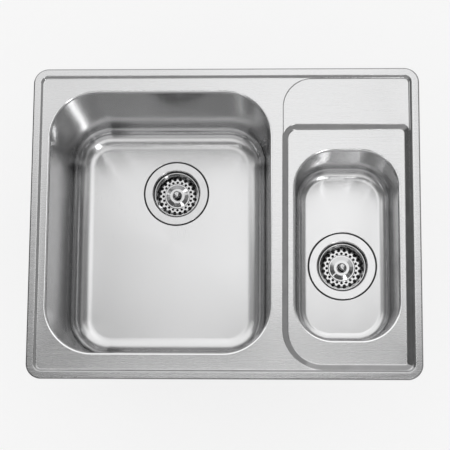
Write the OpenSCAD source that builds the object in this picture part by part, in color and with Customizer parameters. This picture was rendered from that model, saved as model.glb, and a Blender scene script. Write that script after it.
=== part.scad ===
// Inset stainless steel kitchen sink with one and a half bowls, in millimetres.
// The origin is the centre of the rim outline, on the worktop plane.
// +X points right, +Y points to the back and +Z points up.

/* [Rim and deck] */
// Overall width of the rim
sink_w = 620; // [612:1:660]
// Overall depth of the rim, front to back
sink_d = 500; // [494:1:530]
// Outer corner radius of the rim
rim_corner_r = 24; // [20:1:30]
// Thickness of the stainless sheet
sheet_t = 1; // [0.8:0.1:1.2]
// Height of the raised rim above the worktop
rim_h = 4; // [3.5:0.5:6]
// Width of the raised rim, up to its inner slope
rim_w = 12; // [10:0.5:13]
// Radius of the rolled outer edge of the rim
rim_edge_r = 2.2; // [1.6:0.1:3]
// Height of the main deck above the worktop
deck_h = 1; // [0.5:0.1:1.5]

/* [Tap ledge and recess] */
// Drop from the main deck to the tap ledge
ledge_drop = 1; // [0.6:0.1:2]
// Corner radius of the ledge where it turns forward at the back left
ledge_corner_r = 46; // [30:1:60]
// Drop from the main deck to the recess around the small bowl
recess_drop = 7; // [5:0.5:9]
// Width of the recess floor
recess_w = 186; // [184:0.5:188]
// Depth of the recess floor, front to back
recess_d = 377.5; // [370:0.5:380]
// Width of the recess wall, from the main deck down to the recess floor
recess_slope_w = 8.4; // [7:0.1:9]
// Corner radius of the recess floor at the front left
recess_corner_r = 55; // [40:1:62]

/* [Main bowl] */
// Width of the main bowl's opening
main_w = 360; // [330:1:365]
// Depth of the main bowl's opening, front to back
main_l = 427; // [400:1:430]
// Height of the main bowl, from the deck to its floor
main_h = 200; // [150:1:215]
// Corner radius of the main bowl's opening
main_corner_r = 78; // [60:1:90]
// Fillet between the main bowl's walls and floor
main_fillet_r = 33.5; // [25:0.5:38]
// Distance from the rim's left edge to the main bowl's opening
main_left = 25; // [24:0.5:30]
// Distance from the rim's back edge to the main bowl's opening
main_back = 35; // [34:0.5:40]
// Distance of the main drain from the opening's back edge
main_drain_back = 125; // [104:1:200]
// Distance of the main drain to the right of the bowl's middle
main_drain_right = 10; // [-20:1:20]

/* [Small bowl] */
// Width of the small bowl's opening
small_w = 171; // [170:0.5:172]
// Depth of the small bowl's opening, front to back
small_l = 311; // [280:1:314]
// Height of the small bowl, from the recess to its floor
small_h = 112; // [80:1:115]
// Corner radius of the small bowl's opening
small_corner_r = 64; // [50:1:80]
// Fillet between the small bowl's walls and floor
small_fillet_r = 18; // [14:0.5:18.5]
// Distance from the recess floor's right edge to the small bowl
small_right = 7; // [6:0.5:8]
// Distance from the recess floor's front edge to the small bowl
small_front = 35; // [24:0.5:38]
// Distance of the small drain from the opening's front edge
small_drain_front = 138; // [100:1:200]

/* [Bowl pressing] */
// Radius of the rolled lip where a bowl meets the deck
lip_r = 4; // [3:0.5:5]
// Draft of the bowl walls, in degrees
draft = 2.5; // [1:0.5:3]

/* [Strainers] */
// Diameter of the strainer's flange
flange_d = 114; // [106:1:115]
// Diameter of the hole in the bowl's floor
drain_hole_d = 90; // [89:0.5:92]
// Depth of the seat that takes the flange flush with the floor
seat_drop = 2.6; // [2.4:0.1:3.5]
// Inner diameter of the strainer's cup under the flange
cup_d = 82.4; // [81:0.2:84]
// Depth of the strainer's cup
cup_h = 37.5; // [37:0.5:44]
// Thickness of the strainer's sheet
strainer_t = 1; // [0.8:0.1:1.1]
// Diameter of the basket's rim
basket_d = 79; // [78:0.2:79.4]
// Depth of the basket under its rim
basket_h = 16; // [13:0.5:17]
// Thickness of the basket's sheet
basket_t = 0.8; // [0.6:0.1:0.9]
// Number of holes in each row of the basket
basket_holes = 20; // [16:1:24]
// Diameter of the holes in the basket
basket_hole_d = 3.4; // [2.4:0.1:3.6]
// Diameter of the lifting post
post_d = 11.6; // [10:0.2:13]
// Diameter of the rubber stopper
stopper_d = 55; // [53:0.5:58]

/* [Waste] */
// Outer diameter of the threaded outlet, 1 1/2 inch pipe thread
outlet_d = 47.8; // [42:0.2:48]
// Wall of the plastic waste body
waste_t = 3; // [2.5:0.1:3.4]
// Length of the threaded outlet
outlet_l = 24; // [18:1:30]
// Thickness of the rubber washer under the bowl
washer_t = 3; // [2:0.5:4]
// Diameter of the clamping screw
screw_d = 6; // [5:0.5:6]

/* [Fixing clips] */
// Distance of the clip screws from the rim's front and back edges
clip_inset = 24; // [22:0.5:25]
// Distance of the clip screw from the rim's left edge
clip_inset_left = 20; // [19:0.5:20.5]
// Depth of the clip's shelf below the worktop plane
clip_shelf_h = 24; // [22:1:28]
// Width of the clips
clip_w = 10; // [8:0.5:10]
// Reach of the claw from its screw
claw_reach = 32; // [26:1:34]
// Diameter of the clip screws
clip_screw_d = 5; // [4:0.5:5]
// Worktop thickness that the claws are set to
worktop_t = 30; // [28:1:40]

/* [Seals and pads] */
// Width of the foam strip under the rim
foam_w = 6; // [4:0.5:7]
// Thickness of the sound damping pads
pad_t = 2.5; // [1.5:0.5:4]

/* [Hidden] */
$fn = 96;

// Clearances: a running fit, a seat between separate pieces, and an end float
run_gap = 0.06;
seat_gap = 0.3;
float_gap = 0.2;

// Colours of the materials
steel = [0.78, 0.79, 0.80];
polished = [0.88, 0.89, 0.90];
zinc = [0.70, 0.71, 0.68];
brass = [0.80, 0.65, 0.30];
rubber = [0.10, 0.10, 0.11];
foam = [0.22, 0.22, 0.23];
plastic = [0.92, 0.92, 0.90];

// Levels of the deck, measured from the worktop plane
ledge_z = deck_h - ledge_drop;
recess_z = deck_h - recess_drop;
main_floor_z = deck_h - main_h;
small_floor_z = recess_z - small_h;

// A rectangle with four corner radii is [x0, x1, y0, y1, [back right, back left, front left, front right]]
function same_r(r) = [r, r, r, r];
function grown(b, g) = [b[0] - g, b[1] + g, b[2] - g, b[3] + g, [for (r = b[4]) r + g]];

// Outlines in plan
rim_slope_w = rim_h - deck_h;
rim_box = [-sink_w / 2, sink_w / 2, -sink_d / 2, sink_d / 2, same_r(rim_corner_r)];
deck_box = grown(rim_box, -rim_w - rim_slope_w);
deck_corner_r = rim_corner_r - rim_w - rim_slope_w;
step_strip = 0.4;
recess_x1 = deck_box[1] - step_strip - recess_slope_w;
recess_x0 = recess_x1 - recess_w;
recess_y0 = deck_box[2] + step_strip + recess_slope_w;
recess_y1 = recess_y0 + recess_d;
recess_floor = [recess_x0, recess_x1, recess_y0, recess_y1, [5, 15, recess_corner_r, 3]];
ledge_run = ledge_drop * recess_slope_w / recess_drop;
ledge_x0 = recess_x0 - recess_slope_w + step_strip + ledge_run;
ledge_inset = 2 * step_strip + ledge_run;
ledge_floor = [
  ledge_x0, deck_box[1] - ledge_inset, 0, deck_box[3] - ledge_inset,
  [deck_corner_r - ledge_inset, ledge_corner_r, 10, 10]
];
main_x0 = -sink_w / 2 + main_left;
main_y1 = sink_d / 2 - main_back;
main_box = [main_x0, main_x0 + main_w, main_y1 - main_l, main_y1, same_r(main_corner_r)];
small_x0 = recess_x1 - small_right - small_w;
small_y0 = recess_y0 + small_front;
small_box = [small_x0, small_x0 + small_w, small_y0, small_y0 + small_l, same_r(small_corner_r)];
main_drain = [main_x0 + main_w / 2 + main_drain_right, main_y1 - main_drain_back];
small_drain = [small_x0 + small_w / 2, small_y0 + small_drain_front];

// Strainer levels and radii, from the top of the flange
flange_r = flange_d / 2;
hole_r = drain_hole_d / 2;
seat_r = flange_r + 0.6;
seat_outer_r = flange_r + 2;
cup_r = cup_d / 2;
cup_shoulder_z = -8;
basket_r = basket_d / 2;
basket_rim_z = cup_shoulder_z + seat_gap + basket_t + 0.4;
basket_floor_z = basket_rim_z - basket_h;
disc_r = 21.8;
disc_drop = 7;
dish_z = basket_floor_z - disc_drop + 1;
post_r = post_d / 2;
spigot_r = 4;
stopper_top_z = dish_z - basket_t - float_gap;
stopper_bottom_z = -cup_h + seat_gap;
stopper_r = stopper_d / 2;
outlet_hole_r = stopper_r - 3;
cavity_z = stopper_top_z - 3.8;
head_r = 5;
hub_z = -cup_h - 0.2;
head_h = cavity_z - 1.1 - hub_z;
washer_z = -seat_drop - sheet_t;
waste_top_z = washer_z - washer_t;
waste_r = hole_r + waste_t;
outlet_r = outlet_d / 2;
outlet_bore_r = outlet_r - waste_t - 0.4;
funnel_z = -cup_h - 4;
neck_z = funnel_z - 18;
thread_z = neck_z - 16;
outlet_z = thread_z - outlet_l;
boss_z0 = neck_z;
boss_z1 = funnel_z - 6;
insert_r = 5;

// Fixing clips: [x, y, outward angle, level of the sheet's underside]
under_deck = deck_h - sheet_t;
under_ledge = ledge_z - sheet_t;
under_recess = recess_z - sheet_t;
clip_left_x = -0.3 * sink_w;
clip_mid_x = 0.03 * sink_w;
clip_right_x = (recess_x0 + recess_x1) / 2;
clip_recess_inset = 7;
clip_ledge_y = (recess_y1 + recess_slope_w + deck_box[3]) / 2;
CLIPS = [
  [clip_left_x, -sink_d / 2 + clip_inset, -90, under_deck],
  [clip_mid_x, -sink_d / 2 + clip_inset, -90, under_deck],
  [clip_right_x, recess_y0 + clip_recess_inset, -90, under_recess],
  [clip_left_x, sink_d / 2 - clip_inset, 90, under_deck],
  [clip_mid_x, sink_d / 2 - clip_inset, 90, under_deck],
  [clip_right_x, sink_d / 2 - clip_inset, 90, under_ledge],
  [-sink_w / 2 + clip_inset_left, 0, 180, under_deck],
  [sink_w / 2 - clip_inset, clip_ledge_y, 0, under_ledge]
];
bracket_l = 24;
bracket_t = 1.5;
shelf_t = 3;
claw_t = 2;
claw_z = -worktop_t - 8;
clip_head_h = 3;
screw_end = 10;

// Points along a path whose corners are rounded, and the same path moved to its left
arc_steps = 8;
function unit(v) = v / norm(v);
function left_normal(a, b) = [-unit(b - a)[1], unit(b - a)[0]];
function turn_of(a, b, c) = cross(b - a, c - b) > 0 ? 1 : -1;
function corner_arc(p0, p1, p2, r) =
  let (a = unit(p0 - p1), b = unit(p2 - p1), half = acos(a * b) / 2,
       c = p1 + unit(a + b) * r / sin(half),
       s = p1 + a * r / tan(half) - c, e = p1 + b * r / tan(half) - c,
       a0 = atan2(s[1], s[0]), sweep = (atan2(e[1], e[0]) - a0 + 540) % 360 - 180)
  [for (i = [0:arc_steps]) c + r * [cos(a0 + sweep * i / arc_steps), sin(a0 + sweep * i / arc_steps)]];
function rounded_path(p, radii) =
  let (last = len(p) - 1)
  concat([p[0]], [for (i = [1:last - 1]) each corner_arc(p[i - 1], p[i], p[i + 1], radii[i - 1])], [p[last]]);
function moved_left(p, t) =
  let (last = len(p) - 1)
  [for (i = [0:last])
    let (n1 = i > 0 ? left_normal(p[i - 1], p[i]) : left_normal(p[0], p[1]),
         n2 = i < last ? left_normal(p[i], p[i + 1]) : n1)
    p[i] + t * (n1 + n2) / (1 + n1 * n2)];
function left_radii(p, radii, t) =
  [for (i = [1:len(p) - 2]) radii[i - 1] - t * turn_of(p[i - 1], p[i], p[i + 1])];
function reversed(p) = [for (i = [len(p) - 1:-1:0]) p[i]];

// Section of a pressed sheet: its face follows the path and its thickness lies to the left
module sheet_section(p, radii, t) {
  polygon(concat(rounded_path(p, radii), reversed(rounded_path(moved_left(p, t), left_radii(p, radii, t)))));
}

// Rectangle with its own radius at each corner
module outline(b) {
  r = b[4];
  polygon([
    [b[1], b[2] + r[3]], [b[1], b[3] - r[0]], [b[1] - r[0], b[3]], [b[0] + r[1], b[3]],
    [b[0], b[3] - r[1]], [b[0], b[2] + r[2]], [b[0] + r[2], b[2]], [b[1] - r[3], b[2]]
  ]);
  translate([b[1] - r[0], b[3] - r[0]]) circle(r[0]);
  translate([b[0] + r[1], b[3] - r[1]]) circle(r[1]);
  translate([b[0] + r[2], b[2] + r[2]]) circle(r[2]);
  translate([b[1] - r[3], b[2] + r[3]]) circle(r[3]);
}

module plate(b, z0, z1) {
  translate([0, 0, z0]) linear_extrude(z1 - z0) outline(b);
}

// Sweeps a section round an outline. The section's x is measured outwards from the outline.
module swept(b) {
  r = b[4];
  ends = [
    [[b[1] - r[0], b[3] - r[0]], [b[1], b[3] - r[0]], b[3] - r[0] - b[2] - r[3]],
    [[b[0] + r[1], b[3] - r[1]], [b[0] + r[1], b[3]], b[1] - r[0] - b[0] - r[1]],
    [[b[0] + r[2], b[2] + r[2]], [b[0], b[2] + r[2]], b[3] - r[1] - b[2] - r[2]],
    [[b[1] - r[3], b[2] + r[3]], [b[1] - r[3], b[2]], b[1] - r[3] - b[0] - r[2]]
  ];
  for (i = [0:3]) {
    translate(ends[i][0]) rotate(90 * i) rotate_extrude(angle = 90) translate([r[i], 0]) children();
    translate(ends[i][1]) rotate(90 * i) rotate([90, 0, 0]) linear_extrude(ends[i][2]) children();
  }
}

// Block with the rim's rolled edge. With g it is the space under the sheet.
module rim_block(g) {
  edge = grown(rim_box, -g);
  er = rim_edge_r - g;
  top = rim_h - g;
  low = g > 0 ? -1 : 0;
  core_inset = 6;
  swept(edge) polygon(concat(
    [[-core_inset, low], [0, low]],
    [for (i = [0:arc_steps]) [-er + er * cos(90 * i / arc_steps), top - er + er * sin(90 * i / arc_steps)]],
    [[-core_inset, top]]
  ));
  plate(grown(edge, -core_inset), low, top);
}

// Pocket with a flat floor and sloping walls. It goes on a little straight up above its top level.
module pocket(b, floor_z, top_z, run, g) {
  floor_box = grown(b, g * (sqrt(2) - 1));
  core_inset = 1;
  height = top_z - floor_z + 0.5;
  translate([0, 0, floor_z - g]) {
    swept(floor_box) polygon([
      [-core_inset, 0], [0, 0], [run, top_z - floor_z], [run, height], [-core_inset, height]
    ]);
    plate(grown(floor_box, -core_inset), 0, height);
  }
}

// The deck, the tap ledge and the recess inside the rim. With g they are the outside of the sheet.
module pockets(g) {
  pocket(deck_box, deck_h, rim_h, rim_slope_w, g);
  pocket(ledge_floor, ledge_z, deck_h, ledge_run, g);
  pocket(recess_floor, recess_z, deck_h, recess_slope_w, g);
}

module sink_deck() {
  color(steel) difference() {
    union() {
      difference() {
        rim_block(0);
        rim_block(sheet_t);
      }
      pockets(sheet_t);
    }
    pockets(0);
    plate(main_box, under_deck - 1, rim_h);
    plate(small_box, under_recess - 1, rim_h);
  }
}

// Distances across a bowl's wall, from its opening inwards
lip_run = lip_r * tan((90 - draft) / 2);
function bowl_reach(h, fillet_r) = lip_run + h * tan(draft) + fillet_r * tan((90 - draft) / 2);

// Pressed bowl with drafted walls and a sunk seat for its strainer
module bowl(b, z, h, fillet_r, drain) {
  reach = bowl_reach(h, fillet_r);
  foot = lip_run + h * tan(draft);
  translate([0, 0, z]) {
    swept(b) sheet_section([[0, 0], [-lip_run, 0], [-foot, -h], [-reach, -h]], [lip_r, fillet_r], sheet_t);
    difference() {
      plate(grown(b, -reach), -h - sheet_t, -h);
      translate([drain[0], drain[1], -h - 2 * sheet_t]) cylinder(h = 3 * sheet_t, r = seat_outer_r);
    }
    translate([drain[0], drain[1], -h]) rotate_extrude() sheet_section(
      [[hole_r, -seat_drop], [seat_r, -seat_drop], [seat_r + 0.3, 0], [seat_outer_r, 0]], [1, 1.2], -sheet_t
    );
  }
}

module main_bowl() {
  color(steel) bowl(main_box, deck_h, main_h, main_fillet_r, main_drain);
}

module small_bowl() {
  color(steel) bowl(small_box, recess_z, small_h, small_fillet_r, small_drain);
}

// Foam strip between the rim and the worktop
module rim_seal() {
  color(foam) swept(grown(rim_box, -rim_edge_r)) polygon([
    [-foam_w, 0], [-float_gap, 0], [-float_gap, rim_h - sheet_t], [-foam_w, rim_h - sheet_t]
  ]);
}

// Sound damping pads stuck under the bowls' floors
pad_gap = 12;
pad_inset = 8;
small_pad_w = 0.47 * small_w;
main_pad_y1 = main_drain[1] - seat_outer_r - pad_gap;
main_pad_box = grown([
  main_box[0], main_box[1], main_box[2], main_pad_y1 + bowl_reach(main_h, main_fillet_r) + pad_inset,
  same_r(main_corner_r)
], -bowl_reach(main_h, main_fillet_r) - pad_inset);
small_pad_y0 = small_drain[1] + seat_outer_r + pad_gap / 2;
small_pad_box = [
  small_drain[0] - small_pad_w / 2, small_drain[0] + small_pad_w / 2, small_pad_y0,
  small_box[3] - bowl_reach(small_h, small_fillet_r) - pad_inset, same_r(10)
];

module main_damping_pad() {
  color(rubber) plate(main_pad_box, main_floor_z - sheet_t - pad_t, main_floor_z - sheet_t);
}

module small_damping_pad() {
  color(rubber) plate(small_pad_box, small_floor_z - sheet_t - pad_t, small_floor_z - sheet_t);
}

// Flange and cup of a strainer, with the spider that takes the clamping screw
cup_foot_r = cup_r - 5;
spider_t = 3;
spoke_w = 4;
hub_r = 8;
module strainer_cup() {
  color(polished) difference() {
    union() {
      rotate_extrude() sheet_section([
        [flange_r, 0.4 - seat_drop], [flange_r, 0], [cup_r, 0], [cup_r, cup_shoulder_z],
        [cup_r - 3, cup_shoulder_z - 0.7], [cup_foot_r, -cup_h], [outlet_hole_r, -cup_h]
      ], [1.6, 3, 1, 1.5, 3], strainer_t);
      translate([0, 0, -cup_h - strainer_t - spider_t]) {
        for (a = [0, 90]) {
          rotate(a) translate([-outlet_hole_r - 3, -spoke_w / 2, 0])
            cube([2 * outlet_hole_r + 6, spoke_w, spider_t]);
        }
        cylinder(h = hub_z + cup_h + strainer_t + spider_t, r = hub_r);
      }
    }
    translate([0, 0, -cup_h - 10]) cylinder(h = 20, r = screw_d / 2 + 0.2);
  }
}

// Soft ring between the flange and its seat
module cup_gasket() {
  color(rubber) rotate_extrude() polygon([
    [hole_r + 1, -seat_drop], [flange_r - 1.6, -seat_drop],
    [flange_r - 1.6, -strainer_t], [hole_r + 1, -strainer_t]
  ]);
}

// Rubber washer between the bowl and the waste body
module waste_washer() {
  color(rubber) rotate_extrude() polygon([
    [hole_r + 1, waste_top_z], [flange_r - 1, waste_top_z], [flange_r - 1, washer_z], [hole_r + 1, washer_z]
  ]);
}

// Plastic waste body: collar, chamber and funnel, with a spider that holds the insert
neck_r = outlet_r + 2.6;
waste_outside = [
  [0, waste_top_z], [flange_r, waste_top_z], [flange_r, waste_top_z - 4], [waste_r + 1, waste_top_z - 5.5],
  [waste_r, funnel_z - 1], [neck_r, neck_z + 1], [neck_r, neck_z], [0, neck_z]
];
gusset_count = 12;
module waste_body() {
  color(plastic) {
    difference() {
      rotate_extrude() polygon(waste_outside);
      rotate_extrude() polygon([
        [0, waste_top_z + 1], [hole_r, waste_top_z + 1], [hole_r, funnel_z], [outlet_bore_r, neck_z + 2],
        [outlet_bore_r, neck_z - 1], [0, neck_z - 1]
      ]);
    }
    difference() {
      intersection() {
        rotate_extrude() polygon([
          [0, funnel_z - 0.5], [hole_r + waste_t / 2, funnel_z - 0.5],
          [(outlet_bore_r + neck_r) / 2, neck_z + 1], [0, neck_z + 1]
        ]);
        for (a = [45, 135]) {
          rotate(a) translate([-hole_r, -1.5, boss_z0 + 4]) cube([2 * hole_r, 3, boss_z1 - boss_z0 - 6]);
        }
      }
      translate([0, 0, boss_z0]) cylinder(h = boss_z1 - boss_z0, r = insert_r + 1);
    }
    translate([0, 0, boss_z0]) difference() {
      cylinder(h = boss_z1 - boss_z0, r = hub_r);
      translate([0, 0, -1]) cylinder(h = boss_z1 - boss_z0 + 2, r = insert_r + run_gap);
    }
    for (i = [0:gusset_count - 1]) {
      rotate(i * 360 / gusset_count) translate([0, 1, 0]) rotate([90, 0, 0]) linear_extrude(2) polygon([
        [waste_r - 1, waste_top_z - 3], [flange_r - 2, waste_top_z - 3], [flange_r - 2, waste_top_z - 5],
        [waste_r - 1, waste_top_z - 16]
      ]);
    }
  }
}

// Tail with a plain neck and a threaded outlet, welded under the funnel
module waste_tail() {
  color(plastic) rotate_extrude() polygon([
    [outlet_bore_r, outlet_z], [outlet_r, outlet_z], [outlet_r, thread_z],
    [neck_r, thread_z], [neck_r, neck_z], [outlet_bore_r, neck_z]
  ]);
}

// Threaded brass insert in the waste body
module waste_insert() {
  color(brass) translate([0, 0, boss_z0 + 1]) difference() {
    cylinder(h = boss_z1 - boss_z0 - 2, r = insert_r);
    translate([0, 0, -1]) cylinder(h = boss_z1 - boss_z0, r = screw_d / 2 + run_gap);
  }
}

// Screw that clamps the cup and the waste body together, with a hexagon socket in its head
module clamp_screw() {
  color(polished) difference() {
    union() {
      translate([0, 0, hub_z]) cylinder(h = head_h, r = head_r);
      translate([0, 0, boss_z0 + 2]) cylinder(h = hub_z - boss_z0 - 2, r = screw_d / 2);
    }
    translate([0, 0, hub_z + head_h - 1.8]) cylinder(h = 3, r = 2.3, $fn = 6);
  }
}

// Perforated basket that hangs on the post. Its middle is dished.
basket_foot_r = basket_r - 6.3;
hole_row_r = [disc_r + 2.6, disc_r + 6.4];
module basket() {
  color(polished) difference() {
    rotate_extrude() sheet_section([
      [basket_r, basket_rim_z - 1.5], [basket_r, basket_rim_z], [basket_r - 2.1, basket_rim_z],
      [basket_foot_r, basket_floor_z], [disc_r, basket_floor_z], [disc_r - 5.6, dish_z],
      [spigot_r + run_gap, dish_z]
    ], [0.9, 1, 3, 1.2, 2], basket_t);
    for (row = [0, 1]) {
      for (i = [0:basket_holes - 1]) {
        rotate((i + row / 2) * 360 / basket_holes) translate([hole_row_r[row], 0, basket_floor_z - 3])
          cylinder(h = 6, r = basket_hole_d / 2, $fn = 24);
      }
    }
    for (i = [0:basket_holes - 1]) {
      rotate(i * 360 / basket_holes) translate([basket_foot_r - 3, 0, basket_floor_z + basket_h * 0.5])
        rotate([0, 90, 0]) cylinder(h = 12, r = basket_hole_d / 2, $fn = 24);
    }
  }
}

// Lifting post with a domed head, a waist and a collar on the basket's dished middle
module plug_post() {
  color(polished) rotate_extrude() polygon(concat(
    [[0, cavity_z], [spigot_r, cavity_z], [spigot_r, dish_z + float_gap], [post_r + 0.6, dish_z + float_gap],
     [post_r + 0.6, dish_z + 3.4], [post_r - 0.7, dish_z + 4.6], [post_r - 0.7, -13], [post_r, -11.5]],
    [for (i = [0:arc_steps]) [1.5 + (post_r - 1.5) * cos(90 * i / arc_steps), -4 + 4 * sin(90 * i / arc_steps)]],
    [[0.9, -0.7], [0, -0.7]]
  ));
}

// Rubber stopper that closes the cup's outlet
module stopper() {
  color(rubber) rotate_extrude() polygon([
    [spigot_r + run_gap, stopper_top_z], [13, stopper_top_z], [stopper_r - 1, stopper_bottom_z + 2.4],
    [stopper_r, stopper_bottom_z + 1.2], [stopper_r, stopper_bottom_z], [7.4, stopper_bottom_z],
    [7.4, cavity_z], [spigot_r + run_gap, cavity_z]
  ]);
}

// Spring cap that grips the clamping screw's head
module catch_clip() {
  color(zinc) rotate_extrude() polygon([
    [0, cavity_z - 0.7], [head_r + seat_gap, cavity_z - 0.7], [head_r + seat_gap, stopper_bottom_z],
    [head_r + 1, stopper_bottom_z], [head_r + 1, cavity_z], [0, cavity_z]
  ]);
}

module at_main() {
  translate([main_drain[0], main_drain[1], main_floor_z]) children();
}

module at_small() {
  translate([small_drain[0], small_drain[1], small_floor_z]) children();
}

module main_strainer_cup() { at_main() strainer_cup(); }
module main_cup_gasket() { at_main() cup_gasket(); }
module main_waste_washer() { at_main() waste_washer(); }
module main_waste_body() { at_main() waste_body(); }
module main_waste_tail() { at_main() waste_tail(); }
module main_waste_insert() { at_main() waste_insert(); }
module main_clamp_screw() { at_main() clamp_screw(); }
module main_basket() { at_main() basket(); }
module main_plug_post() { at_main() plug_post(); }
module main_stopper() { at_main() stopper(); }
module main_catch_clip() { at_main() catch_clip(); }
module small_strainer_cup() { at_small() strainer_cup(); }
module small_cup_gasket() { at_small() cup_gasket(); }
module small_waste_washer() { at_small() waste_washer(); }
module small_waste_body() { at_small() waste_body(); }
module small_waste_tail() { at_small() waste_tail(); }
module small_waste_insert() { at_small() waste_insert(); }
module small_clamp_screw() { at_small() clamp_screw(); }
module small_basket() { at_small() basket(); }
module small_plug_post() { at_small() plug_post(); }
module small_stopper() { at_small() stopper(); }
module small_catch_clip() { at_small() catch_clip(); }

// Puts a clip's own frame on its screw axis, with +X pointing outwards from the sink
module at_clip(c) {
  translate([c[0], c[1], 0]) rotate(c[2]) children();
}

// Bent bracket welded under the sheet, with a tapped shelf for the screw
module clip_bracket(top) {
  difference() {
    union() {
      translate([-clip_w / 2, -bracket_l / 2, top - bracket_t]) cube([clip_w, bracket_l, bracket_t]);
      translate([-clip_w / 2, -bracket_l / 2, -clip_shelf_h - shelf_t])
        cube([clip_w, bracket_t, top + clip_shelf_h + shelf_t]);
      translate([-clip_w / 2, -bracket_l / 2, -clip_shelf_h - shelf_t]) cube([clip_w, bracket_l * 0.8, shelf_t]);
    }
    translate([0, 0, -clip_shelf_h - 2 * shelf_t]) cylinder(h = 3 * shelf_t, r = clip_screw_d / 2 + run_gap);
  }
}

module clip_brackets() {
  color(zinc) for (c = CLIPS) at_clip(c) clip_bracket(c[3]);
}

// Screws that carry the claws on their heads
module clip_screws() {
  color(zinc) for (c = CLIPS) at_clip(c) {
    translate([0, 0, claw_z - claw_t - float_gap - clip_head_h]) {
      difference() {
        cylinder(h = clip_head_h, r = clip_screw_d / 2 + 2);
        translate([-clip_screw_d, -0.6, -1]) cube([2 * clip_screw_d, 1.2, 2.2]);
      }
      cylinder(h = -clip_shelf_h - claw_z + claw_t + clip_head_h + screw_end, r = clip_screw_d / 2);
    }
  }
}

// Claw that swings out under the worktop. It is stored turned along the rim.
tooth_t = 2;
claw_z_rise = -worktop_t - claw_z;
module claw() {
  color(zinc) rotate(90) difference() {
    union() {
      translate([0, 0, claw_z - claw_t]) cylinder(h = claw_t, r = clip_w / 2);
      translate([0, -clip_w / 2, claw_z - claw_t]) cube([claw_reach, clip_w, claw_t]);
      translate([claw_reach - tooth_t, -clip_w / 2, claw_z - claw_t]) cube([tooth_t, clip_w, claw_t + claw_z_rise]);
    }
    translate([0, 0, claw_z - 2 * claw_t]) cylinder(h = 3 * claw_t, r = clip_screw_d / 2 + run_gap);
  }
}

module clip_claw(i) {
  at_clip(CLIPS[i]) claw();
}

sink_deck();
main_bowl();
small_bowl();
rim_seal();
main_damping_pad();
small_damping_pad();
main_strainer_cup();
main_cup_gasket();
main_waste_washer();
main_waste_body();
main_waste_tail();
main_waste_insert();
main_clamp_screw();
main_basket();
main_plug_post();
main_stopper();
main_catch_clip();
small_strainer_cup();
small_cup_gasket();
small_waste_washer();
small_waste_body();
small_waste_tail();
small_waste_insert();
small_clamp_screw();
small_basket();
small_plug_post();
small_stopper();
small_catch_clip();
clip_brackets();
clip_screws();
clip_claw(0);  // clip_claw_1
clip_claw(1);  // clip_claw_2
clip_claw(2);  // clip_claw_3
clip_claw(3);  // clip_claw_4
clip_claw(4);  // clip_claw_5
clip_claw(5);  // clip_claw_6
clip_claw(6);  // clip_claw_7
clip_claw(7);  // clip_claw_8
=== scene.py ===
import math

import bpy
import numpy as np
from mathutils import Matrix, Vector
from mathutils.geometry import delaunay_2d_cdt


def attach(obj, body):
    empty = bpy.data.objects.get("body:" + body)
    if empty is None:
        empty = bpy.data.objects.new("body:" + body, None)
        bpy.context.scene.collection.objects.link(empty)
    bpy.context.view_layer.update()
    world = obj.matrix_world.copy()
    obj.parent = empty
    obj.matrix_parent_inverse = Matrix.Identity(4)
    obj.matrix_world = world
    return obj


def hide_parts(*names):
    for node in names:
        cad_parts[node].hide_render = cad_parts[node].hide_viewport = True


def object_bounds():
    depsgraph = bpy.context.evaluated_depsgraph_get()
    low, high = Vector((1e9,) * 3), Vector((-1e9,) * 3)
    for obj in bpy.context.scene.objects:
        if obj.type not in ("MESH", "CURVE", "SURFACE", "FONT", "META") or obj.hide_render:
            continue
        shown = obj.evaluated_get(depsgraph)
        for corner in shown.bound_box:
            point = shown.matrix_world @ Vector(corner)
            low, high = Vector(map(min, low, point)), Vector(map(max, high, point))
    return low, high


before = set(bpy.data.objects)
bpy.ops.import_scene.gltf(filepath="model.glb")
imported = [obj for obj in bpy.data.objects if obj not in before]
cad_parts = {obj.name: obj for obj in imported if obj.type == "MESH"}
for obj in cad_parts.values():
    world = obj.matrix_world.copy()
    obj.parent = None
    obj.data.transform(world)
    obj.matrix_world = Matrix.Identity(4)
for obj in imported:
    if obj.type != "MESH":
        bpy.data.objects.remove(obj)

cad_box = [list(map(float, corner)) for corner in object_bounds()]

# Sizes in millimetres, as in part.scad.
# A rounded box is [left, right, front, back, [radii: right back, left back, left front, right front]].
SHEET = 1.0
RIM = [-310.0, 310.0, -250.0, 250.0, [24.0] * 4]
RIM_H, DECK_H, LEDGE_Z, RECESS_Z = 4.0, 1.0, 0.0, -6.0
EDGE_R = 2.2
DECK = [-295.0, 295.0, -235.0, 235.0, [9.0] * 4]
RIM_W = RIM[1] - DECK[1]
LEDGE = [93.4, 293.0, 0.0, 233.0, [7.0, 46.0, 10.0, 10.0]]
RECESS = [100.2, 286.2, -226.2, 151.3, [5.0, 15.0, 55.0, 3.0]]
RECESS_RUN, LEDGE_RUN = 8.4, 7.2
DRAFT = math.radians(2.5)
LIP_R = 4.0
LIP_RUN = LIP_R * math.tan((math.pi / 2 - DRAFT) / 2)
BOWLS = {
    "main": dict(
        box=[-285.0, 75.0, -212.0, 215.0, [78.0] * 4], z=DECK_H, h=200.0, fillet=33.5, drain=(-95.0, 90.0)),
    "small": dict(
        box=[108.2, 279.2, -191.2, 119.8, [64.0] * 4], z=RECESS_Z, h=112.0, fillet=18.0, drain=(193.7, -53.2)),
}

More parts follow.
